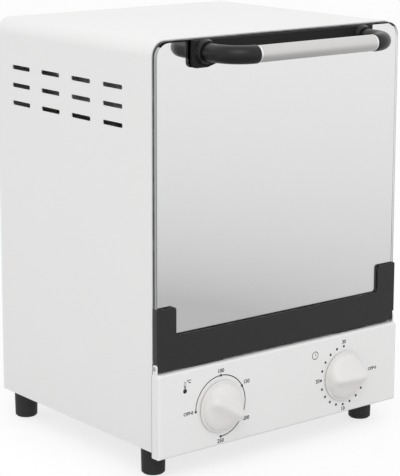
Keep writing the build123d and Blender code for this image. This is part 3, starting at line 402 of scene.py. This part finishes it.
foot_head = (0.0038, 0.0026)
spots = list(product(inset("foot_screws", 0, foot_head[0]), inset("foot_screws", 1, foot_head[0])))
fit_screws("foot_screws", "cabinet", downward, foot_head, spots, shank_radius=0.002, recess=0.0011)

panel_head = (0.0028, 0.002)
spots = list(product(inset("panel_screws", 0, panel_head[0]), inset("panel_screws", 2, panel_head[0])))
fit_screws("panel_screws", "cabinet", rearward, panel_head, spots, shank_radius=0.0015, recess=0.0009)

dial_head = (0.0027, 0.0017)
pair_spacing = 0.024
outer = inset("dial_screws", 0, dial_head[0])
inner = (outer[0] + pair_spacing, outer[1] - pair_spacing)
level, _ = inset("dial_screws", 2, dial_head[0])
spots = [(x, level) for x in outer + inner]
fit_screws("dial_screws", "cabinet", forward, dial_head, spots, shank_radius=0.0015, recess=0.0008)

dress(screw_plate, "foot_nuts", "hinge_pin_left", "hinge_pin_right")


# ---- Feet and cord gland: black mouldings ----
# Hard black rubber feet with a rim under the case, and a moulded sleeve and nut at the rear
# where a cord passes the back panel.
def moulding(name, level, roughness, grain_size, gloss=1.5):
    """Black moulded plastic or rubber with an even fine grain."""
    mass = Finish(name, IOR=gloss)
    rubbed = mass.grain(size=0.02, detail=3.0)
    mass.set(Base_Color=mass.mix(rubbed, grey(level), grey(level * 1.35)))
    mass.set(Roughness=mass.between(rubbed, roughness, roughness + 0.12))
    mass.relief(mass.grain(grain_size, detail=1.0), depth=0.00004, strength=0.45)
    return mass


foot_rubber = moulding("foot_rubber", level=0.012, roughness=0.5, grain_size=0.0006)
dress(foot_rubber, "foot_front_left", "foot_front_right", "foot_rear_left", "foot_rear_right")
gland_plastic = moulding("gland_plastic", level=0.014, roughness=0.4, grain_size=0.0004)
dress(gland_plastic, "cord_gland", "gland_nut")


# ---- Dial marks: printed on the control panel round each knob ----
# Thin dark grey ink: a line with dots and numbers for the temperature, dots and numbers for the
# timer, and a small pictogram of a thermometer and of a clock beside them.
ink = Finish("dial_ink", IOR=1.45)
ink_patch = ink.grain(size=0.0006, detail=2.0)
ink.set(Base_Color=ink.mix(ink_patch, grey(0.012), grey(0.025)))
ink.set(Roughness=ink.between(ink_patch, 0.45, 0.6))
ink_depth = 0.00006
ink_spread = 0.00012
panel_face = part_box("control_panel")[0].y
dial_radius = 0.024


def knob_centre(name):
    """Where a knob's axis meets the panel's face."""
    low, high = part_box(name)
    return Vector(((low.x + high.x) / 2, panel_face, (low.z + high.z) / 2))


def dots_tree():
    """Round dots on an arc in the XZ plane. Angles run clockwise from straight up."""
    board, given = start_tree(
        "dial_dots",
        ("Centre", "Vector"),
        ("Radius", "Float"),
        ("Dot Radius", "Float"),
        ("Depth", "Float"),
        ("First Angle", "Float"),
        ("Step", "Float"),
        ("Count", "Int"),
        ("Ink", "Material"),
    )
    index = board.node("GeometryNodeInputIndex")
    angle = index * given.other("Step") + given.other("First Angle")
    radius = given.other("Radius")
    across = angle.math("SINE", angle) * radius
    upwards = angle.math("COSINE", angle) * radius
    sockets = {"Count": given.other("Count"), "Position": xyz(board, across, 0.0, upwards)}
    points = board.node("GeometryNodePoints", {}, sockets)
    sockets = {"Vertices": 20, "Radius": given.other("Dot Radius"), "Depth": given.other("Depth")}
    dot = board.node("GeometryNodeMeshCylinder", {}, sockets)
    sockets = {"Points": points, "Instance": dot, "Rotation": (pi / 2, 0, 0)}
    dots = board.node("GeometryNodeInstanceOnPoints", {}, sockets)
    sockets = {"Geometry": dots, "Translation": given.other("Centre")}
    dots = board.node("GeometryNodeTransform", {}, sockets)
    return end_tree(board, [dots], given.other("Ink"))


def line_tree():
    """A flat printed line along the given edges, which lie in the XY plane, stood up in XZ."""
    board, given = start_tree(
        "printed_line",
        ("Centre", "Vector"),
        ("Line Width", "Float"),
        ("Depth", "Float"),
        ("Ink", "Material"),
    )
    width = given.other("Line Width")
    path = board.node("GeometryNodeMeshToCurve", {}, {"Mesh": given})
    sockets = {"Resolution": 8, "Radius": width * 0.5}
    section = board.node("GeometryNodeCurvePrimitiveCircle", {}, sockets)
    sockets = {"Curve": path, "Profile Curve": section, "Fill Caps": True}
    line = board.node("GeometryNodeCurveToMesh", {}, sockets)
    flatten = xyz(board, 1.0, 1.0, given.other("Depth") / width)
    line = board.node("GeometryNodeTransform", {}, {"Geometry": line, "Scale": flatten})
    sockets = {"Geometry": line, "Translation": given.other("Centre"), "Rotation": (pi / 2, 0, 0)}
    line = board.node("GeometryNodeTransform", {}, sockets)
    return end_tree(board, [line], given.other("Ink"))


def label(text, size, centre):
    """Flat lettering on the panel, centred on the point. Gives its mesh."""
    lines = bpy.data.curves.new("label", "FONT")
    lines.body = text
    lines.size = size
    lines.align_x = "CENTER"
    lines.align_y = "CENTER"
    lines.extrude = ink_depth / 2
    lines.offset = ink_spread
    lines.resolution_u = 3
    letters = bpy.data.objects.new("label", lines)
    scene.collection.objects.link(letters)
    drawn = letters.evaluated_get(bpy.context.evaluated_depsgraph_get())
    mesh = bpy.data.meshes.new_from_object(drawn)
    mesh.transform(Matrix.Translation(centre) @ Matrix.Rotation(pi / 2, 4, "X"))
    bpy.data.objects.remove(letters)
    return mesh


dots_on = dots_tree()
line_on = line_tree()


def marks_from(tree, centre, sizes, points=(), edges=()):
    """The mesh of printed dots or of a printed line."""
    common = {"Centre": centre, "Depth": ink_depth, "Ink": ink.material}
    piece = grow("marks", tree, common | sizes, points, edges)
    mesh = piece.data
    bpy.data.objects.remove(piece)
    return mesh


def dots(centre, first, step, count, radius=dial_radius, dot_radius=0.00105):
    """Dots on a circle, from the first angle on, clockwise from straight up in degrees."""
    sizes = {"Radius": radius, "Dot Radius": dot_radius, "Count": count}
    sizes |= {"First Angle": radians(first), "Step": radians(step)}
    return marks_from(dots_on, centre, sizes)


def turned(angle, radius, lift=0.0):
    """A point at that clockwise angle from straight up, in the plane of the print."""
    return sin(radians(angle)) * radius, cos(radians(angle)) * radius + lift, 0.0


def line(centre, points, width=0.0008, closed=False):
    """A printed line through the points, which are measured from the centre."""
    ends = list(range(1, len(points))) + [0] * closed
    return marks_from(line_on, centre, {"Line Width": width}, points, list(enumerate(ends)))


def number(centre, text, angle, radius, size=0.0042):
    """A number at a dial's rim."""
    across, upwards, _ = turned(angle, radius)
    return label(text, size, centre + Vector((across, 0, upwards)))


def print_marks(name, meshes):
    """Joins printed marks to one piece on the control panel."""
    marks = bmesh.new()
    for mesh in meshes:
        marks.from_mesh(mesh)
    joined = bpy.data.meshes.new(name)
    marks.to_mesh(joined)
    joined.materials.append(ink.material)
    piece = bpy.data.objects.new(name, joined)
    scene.collection.objects.link(piece)
    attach(piece, "cabinet")


off, off_size = "OFF\u00b70", 0.0036
centre = knob_centre("temperature_knob")
scale_line = [turned(angle, dial_radius) for angle in range(-90, 181, 3)]
marks = [dots(centre, first=-90, step=0, count=1), dots(centre, first=0, step=60, count=4)]
marks.append(line(centre, scale_line))
temperatures = (("100", 0, 0.0275), ("250", 180, 0.0275), ("150", 60, 0.029), ("200", 120, 0.029))
marks += [number(centre, text, angle, radius) for text, angle, radius in temperatures]
marks.append(number(centre, off, -90, 0.031, off_size))
print_marks("temperature_marks", marks)

centre = knob_centre("timer_knob")
marks = [dots(centre, first=108, step=18, count=15)]
minutes = (("10", 180), ("20", 270), ("30", 0))
marks += [number(centre, text, angle, radius=0.0276) for text, angle in minutes]
marks.append(number(centre, off, 90, 0.0315, off_size))
print_marks("timer_marks", marks)

centre = Vector((-0.0972, panel_face, 0.0707))
degree_centre = Vector((-0.0935, panel_face, 0.0747))
bulb_radius, stem_radius, bulb_drop, stem_rise = 0.0016, 0.0008, -0.0027, 0.0035
# the bulb is a circle that is open towards the stem, and the stem ends in half a circle
outline = [turned(angle, bulb_radius, bulb_drop) for angle in range(28, 333, 19)]
outline += [turned(angle, stem_radius, stem_rise) for angle in range(-90, 91, 30)]
column = [(0, bulb_drop, 0), (0, stem_rise - 0.002, 0)]
marks = [line(centre, outline, width=0.0004, closed=True), line(centre, column, width=0.0007)]
bulb_centre = centre + Vector((0, 0, bulb_drop))
marks.append(dots(bulb_centre, first=0, step=0, count=1, radius=0.0, dot_radius=0.0014))
marks.append(label("\u00b0C", 0.0037, degree_centre))
print_marks("thermometer_mark", marks)

centre = Vector((0.0325, panel_face, 0.0716))
face_radius, long_hand, short_hand = 0.003, 0.002, 0.0014
face_ring = [turned(angle, face_radius) for angle in range(0, 360, 15)]
hands = [turned(0, long_hand), turned(0, 0), turned(120, short_hand)]
marks = [line(centre, face_ring, width=0.0006, closed=True), line(centre, hands, width=0.00045)]
print_marks("clock_mark", marks)


# ---- Knobs: temperature on the left and timer on the right ----
# Cream plastic, moulded in one piece: a thin rim at the panel, a shallow dome with a soft ridge
# across it to grip, and a hollow behind with a boss that the spindle is pressed into.
cream = Finish("knob_cream", IOR=1.46)
cream_cloud = cream.grain(size=0.012, detail=3.0)
cream.set(Base_Color=cream.mix(cream_cloud, grey(0.8, 0.014), grey(0.77, 0.024)))
cream.set(Roughness=cream.between(cream_cloud, 0.34, 0.44))
cream.relief(cream.grain(size=0.0009, detail=1.0), depth=0.00002, strength=0.4)

knob_face = 0.0182
knob_segments = 96
front_rings = 40
# radius and distance from the panel: boss, hollow, and the thin rim with its rounded edge
knob_back = [(0.0054, 0.0034), (0.0054, 0.0042), (0.0161, 0.0042), (0.0161, 0.0009), (0.0198, 0.0009)]
knob_back += [(0.0201, 0.0012), (0.0201, 0.0015), (0.0198, 0.0018), (knob_face, 0.0018)]


def knob_lift(radius, across):
    """How far the front stands off the panel: a shallow dome, and a soft ridge over it."""
    foot, dome_rise, ridge_rise = 0.0024, 0.0056, 0.0112
    ridge_half, flank_steepness = 0.0052, 2.3
    reach = min(radius / knob_face, 1.0)
    dome = dome_rise * (1 - reach**2) ** 0.5
    ridge = ridge_rise * (1 - reach**8) ** 0.5
    return foot + dome + (ridge - dome) / (1 + (abs(across) / ridge_half) ** flank_steepness)


def shape_knob(node, body, pointer):
    """A knob that stands for the CAD node, its ridge set clockwise from straight up."""
    centre = knob_centre(node)
    form = bmesh.new()

    def ring(radius, lift=None):
        """Points round the axis, on the front where no lift is given."""
        points = []
        for step in range(knob_segments):
            angle = 360 * step / knob_segments
            across, upwards, _ = turned(angle, radius)
            height = lift or knob_lift(radius, sin(radians(angle - pointer)) * radius)
            points.append(form.verts.new(centre + Vector((across, -height, upwards))))
        return points

    rings = [ring(radius, lift) for radius, lift in knob_back]
    rings += [ring(knob_face * cos(pi / 2 * step / front_rings)) for step in range(front_rings)]
    for inner, outer in zip(rings, rings[1:]):
        for step in range(knob_segments):
            after = (step + 1) % knob_segments
            form.faces.new((inner[step], inner[after], outer[after], outer[step]))
    for end, lift in ((rings[0], knob_back[0][1]), (rings[-1], knob_lift(0.0, 0.0))):
        pole = form.verts.new(centre + Vector((0, -lift, 0)))
        for step in range(knob_segments):
            form.faces.new((end[step], end[(step + 1) % knob_segments], pole))
    bmesh.ops.recalc_face_normals(form, faces=form.faces)
    for face in form.faces:
        face.smooth = True
    sharpest_smooth = radians(35)
    for edge in form.edges:
        edge.smooth = edge.calc_face_angle(0.0) < sharpest_smooth
    mesh = bpy.data.meshes.new(node)
    form.to_mesh(mesh)
    mesh.materials.append(cream.material)
    knob = bpy.data.objects.new(f"{node}_moulded", mesh)
    scene.collection.objects.link(knob)
    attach(knob, body)
    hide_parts(node)


shape_knob("temperature_knob", "temperature_dial", pointer=122)
shape_knob("timer_knob", "timer_dial", pointer=93)


# ---- Door: mirror pane in a folded black bracket ----
# Tempered glass 3 mm thick, silvered on its rear face, so that the mirror lies behind the clear
# front. Its edges are ground dull, with arrises darkened by painted shade, and a near-black rim of
# painted shade runs along the top and round its corners. The bracket is folded sheet in black
# enamel, with a painted highlight that makes its side flanges paler.
pane = Finish("mirror_glass", IOR=1.5, Transmission_Weight=1.0)
glass_low, glass_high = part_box("door_glass")
glass_half = (glass_high.y - glass_low.y) / 2
pane_corner, black_rim = 0.0115, 0.0008
x, y, z = pane.parts_of("Object")
facing_x, facing_y, _ = pane.parts_of("Normal")
depth = y - (glass_low.y + glass_half)
beside = abs(x) - (glass_high.x - pane_corner)
beside = beside.math("MAXIMUM", beside, 0.0)
above = z - (glass_high.z - pane_corner)
from_corner = above.math("SQRT", beside * beside + above * above)
# painted shade: along the top and round the upper corners, the outer 0.8 mm of the pane is coloured near
# black and made rougher
painted_rim_shade = (above - beside > 0.0) * (from_corner > pane_corner - black_rim)
face_on, arris_from = 0.9, 0.7
polished = abs(facing_y) > face_on
silvered = polished * (depth > 0.0) * (1 - painted_rim_shade)
# an edge that is seen through the glass has its normal turned inwards
seen_inside = 0 - x * facing_x > 0.0
clear = polished.math("MAXIMUM", polished, seen_inside) * (1 - painted_rim_shade)
# painted shade: the outer part of each ground edge, next to either face, is coloured darker
shaded_arris = abs(depth) > glass_half * arris_from
wiped = pane.grain(size=0.05, stretch=(3, 1, 1), detail=5.0)
ground = pane.grain(size=0.0005, stretch=(1, 1, 12), detail=2.0)
edge_tone = pane.mix(ground, (0.44, 0.46, 0.45, 1), (0.52, 0.54, 0.53, 1))
edge_tone = pane.mix(shaded_arris, edge_tone, (0.27, 0.28, 0.28, 1))
edge_tone = pane.mix(painted_rim_shade, edge_tone, grey(0.012))
silver = pane.mix(wiped, (0.9, 0.905, 0.905, 1), (0.92, 0.92, 0.92, 1))
pane.set(Base_Color=pane.mix(silvered, pane.mix(clear, edge_tone, grey(0.99)), silver))
pane.set(Metallic=1 - clear * (1 - silvered))
pane.set(Roughness=pane.between(clear, 0.45, 0.0) + wiped * 0.015 + painted_rim_shade * 0.5)
dress(pane, "door_glass")

bracket_enamel = enamel("black_enamel", grey(0.017), grey(0.021), roughness=0.4, gloss=1.42)
side_on = 0.8
sideways, _, _ = bracket_enamel.parts_of("Normal")
# painted highlight: faces turned sideways, the side flanges, are coloured paler than the sprayed black
painted_flange_highlight = abs(sideways) > side_on
sprayed = bracket_enamel.under("Base Color")
bracket_enamel.set(Base_Color=bracket_enamel.mix(painted_flange_highlight, sprayed, grey(0.04)))
dress(bracket_enamel, "door_bracket")


# ---- Handle: two black elbows, an aluminium tube and a base strip ----
# The elbows are glossy moulded plastic, and the strip is a duller one. The tube is satin anodised,
# with drawing lines along it. A screw and a fibre washer behind the pane hold each elbow.
elbow_plastic = moulding("handle_plastic", level=0.006, roughness=0.27, grain_size=0.0005, gloss=1.4)
dress(elbow_plastic, "handle_end_left", "handle_end_right")
strip_plastic = moulding("handle_strip_plastic", level=0.013, roughness=0.7, grain_size=0.0005, gloss=1.3)
dress(strip_plastic, "handle_base")

tube_grey, tube_tint = grey(0.68, 0.012), grey(0.64, 0.018)
anodised = rolled("anodised_aluminium", tube_grey, tube_tint, lines=(60, 1, 1), roughness=0.36)
end_ring = 0.0015
along, _, _ = anodised.parts_of("Object")
# the outer 1.5 mm at each end of the tube is coloured near white
pale_end_band = abs(along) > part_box("handle_bar")[1].x - end_ring
drawn = anodised.under("Base Color")
anodised.set(Base_Color=anodised.mix(pale_end_band, drawn, grey(0.95)))
dress(anodised, "handle_bar")

fibre = Finish("washer_fibre", IOR=1.5)
strand = fibre.grain(size=0.0006, stretch=(6, 1, 1), detail=3.0)
fibre.set(Base_Color=fibre.mix(strand, (0.16, 0.05, 0.03, 1), (0.24, 0.09, 0.05, 1)))
fibre.set(Roughness=fibre.between(strand, 0.6, 0.8))
fibre.relief(strand, depth=0.00003, strength=0.4)
dress(fibre, "handle_washers")

handle_head = (0.0038, 0.0013)
level, _ = inset("handle_screws", 2, handle_head[0])
spots = [(x, level) for x in inset("handle_screws", 0, handle_head[0])]
fit_screws("handle_screws", "door", rearward, handle_head, spots, shank_radius=0.002, recess=0.001)


# ---- Shelf: wire rack and instrument tray ----
# The rack is bright chromed wire. The tray is pressed from aluminium sheet, with fine scratches
# from the instruments that have slid over it.
chrome = rolled("rack_chrome", grey(0.68), grey(0.64, 0.01), lines=(1, 1, 1), roughness=0.16)
dress(chrome, "wire_rack")
tray_sheet = rolled("tray_aluminium", grey(0.72), grey(0.68, 0.01), lines=(30, 1, 1), roughness=0.34)
dress(tray_sheet, "instrument_tray")


# ---- Room: floor, white background and soft light ----
# A white table that keeps the object's soft shadow. Mirror and metal see it a little darker near
# the object, where a shadow is painted into what it shows them, as in a light tent, and far off as
# bright as the background.
table = bpy.data.meshes.new("table_top")
reach = 8.0
corners = [(-reach, -reach, 0), (reach, -reach, 0), (reach, reach, 0), (-reach, reach, 0)]
table.from_pydata(corners, [], [(0, 1, 2, 3)])
floor = bpy.data.objects.new("table_top", table)
scene.collection.objects.link(floor)

paper = Finish("table_white")
grit = paper.grain(size=0.004, detail=2.0)
paper.set(Base_Color=paper.mix(grit, grey(0.79), grey(0.81)))
paper.set(Roughness=paper.between(grit, 0.85, 0.95))

# to the camera the table glows a little, so that it fades into the background
pure_white = (1, 1, 1, 1)
camera_glow, camera_share = 1.12, 0.65
glow = paper.node("ShaderNodeEmission", {}, {"Color": pure_white, "Strength": camera_glow})
ray = paper.node("ShaderNodeLightPath", out="Is Camera Ray")
sockets = {0: ray * camera_share, 1: Wire(paper, paper.surface.outputs[0]), 2: glow}
lit = paper.node("ShaderNodeMixShader", {}, sockets)

# to mirror and metal its painted shadow is darkest round this centre, and even within that reach
dark_centre, dark_reach = (-0.1, -0.35, 0.0), 0.35
tent_white, shadow_share, shadow_fade, far_share = 0.9, 0.107, -1.2, 0.0016
place = paper.node("ShaderNodeTexCoord", out="Object")
sockets = {0: place, 1: dark_centre}
away = paper.node("ShaderNodeVectorMath", {"operation": "DISTANCE"}, sockets, out="Value")
away = away.math("MAXIMUM", away, dark_reach)
painted_tent_shadow = away.math("POWER", away, shadow_fade) * shadow_share
far_light = away.math("POWER", away, 2.0) * far_share
sockets = {"Color": pure_white, "Strength": tent_white - painted_tent_shadow + far_light}
mirrored = paper.node("ShaderNodeEmission", {}, sockets)
sharp = ray.math("MAXIMUM", ray.other("Is Glossy Ray"), ray.other("Is Transmission Ray"))
whole = paper.node("ShaderNodeMixShader", {}, {0: sharp, 1: lit, 2: mirrored})
paper.plug(whole, paper.tree.nodes["Material Output"].inputs["Surface"])
floor.data.materials.append(paper.material)

room = bpy.data.worlds.new("room")
room.use_nodes = True
scene.world = room
sky = Board(room.node_tree)
ambient = 0.855
ray = sky.node("ShaderNodeLightPath", out="Is Camera Ray")
direct = ray.math("MAXIMUM", ray, ray.other("Is Glossy Ray"))
direct = ray.math("MAXIMUM", direct, ray.other("Is Transmission Ray"))
background = room.node_tree.nodes["Background"]
sky.plug(pure_white, background.inputs["Color"])
sky.plug(direct * (1 - ambient) + ambient, background.inputs["Strength"])

soft_box = bpy.data.lights.new("soft_box", "AREA")
soft_box.shape = "SQUARE"
soft_box.size = 1.6
soft_box.energy = 13.0
lamp = bpy.data.objects.new("soft_box", soft_box)
scene.collection.objects.link(lamp)
lamp.location = (-0.95, -1.3, 1.8)
mid_object = Vector((0, 0, 0.15))
lamp.rotation_euler = (mid_object - lamp.location).to_track_quat("-Z", "Y").to_euler()

scene.view_settings.view_transform = "Standard"


# ---- Camera: to the left of the object, a little above it ----
# A long lens, with its place and turn worked out from the corners of the case. Its small shift
# keeps the upright edges nearly parallel.
stand = (-0.8931, -1.10413, 0.4784)
yaw, pitch, roll = 0.67488, 0.19814, 0.00251
frame_height_px = 476
focal_px = 1815.3
centre_row_px = 190.0
lens = bpy.data.cameras.new("camera")
lens.lens = focal_px * lens.sensor_width / frame_height_px
lens.shift_y = -(frame_height_px / 2 - centre_row_px) / frame_height_px
eye = bpy.data.objects.new("camera", lens)
scene.collection.objects.link(eye)
eye.matrix_world = (
    Matrix.Translation(stand)
    @ Matrix.Rotation(-yaw, 4, "Z")
    @ Matrix.Rotation(pi / 2 - pitch, 4, "X")
    @ Matrix.Rotation(roll, 4, "Z")
)
scene.camera = eye
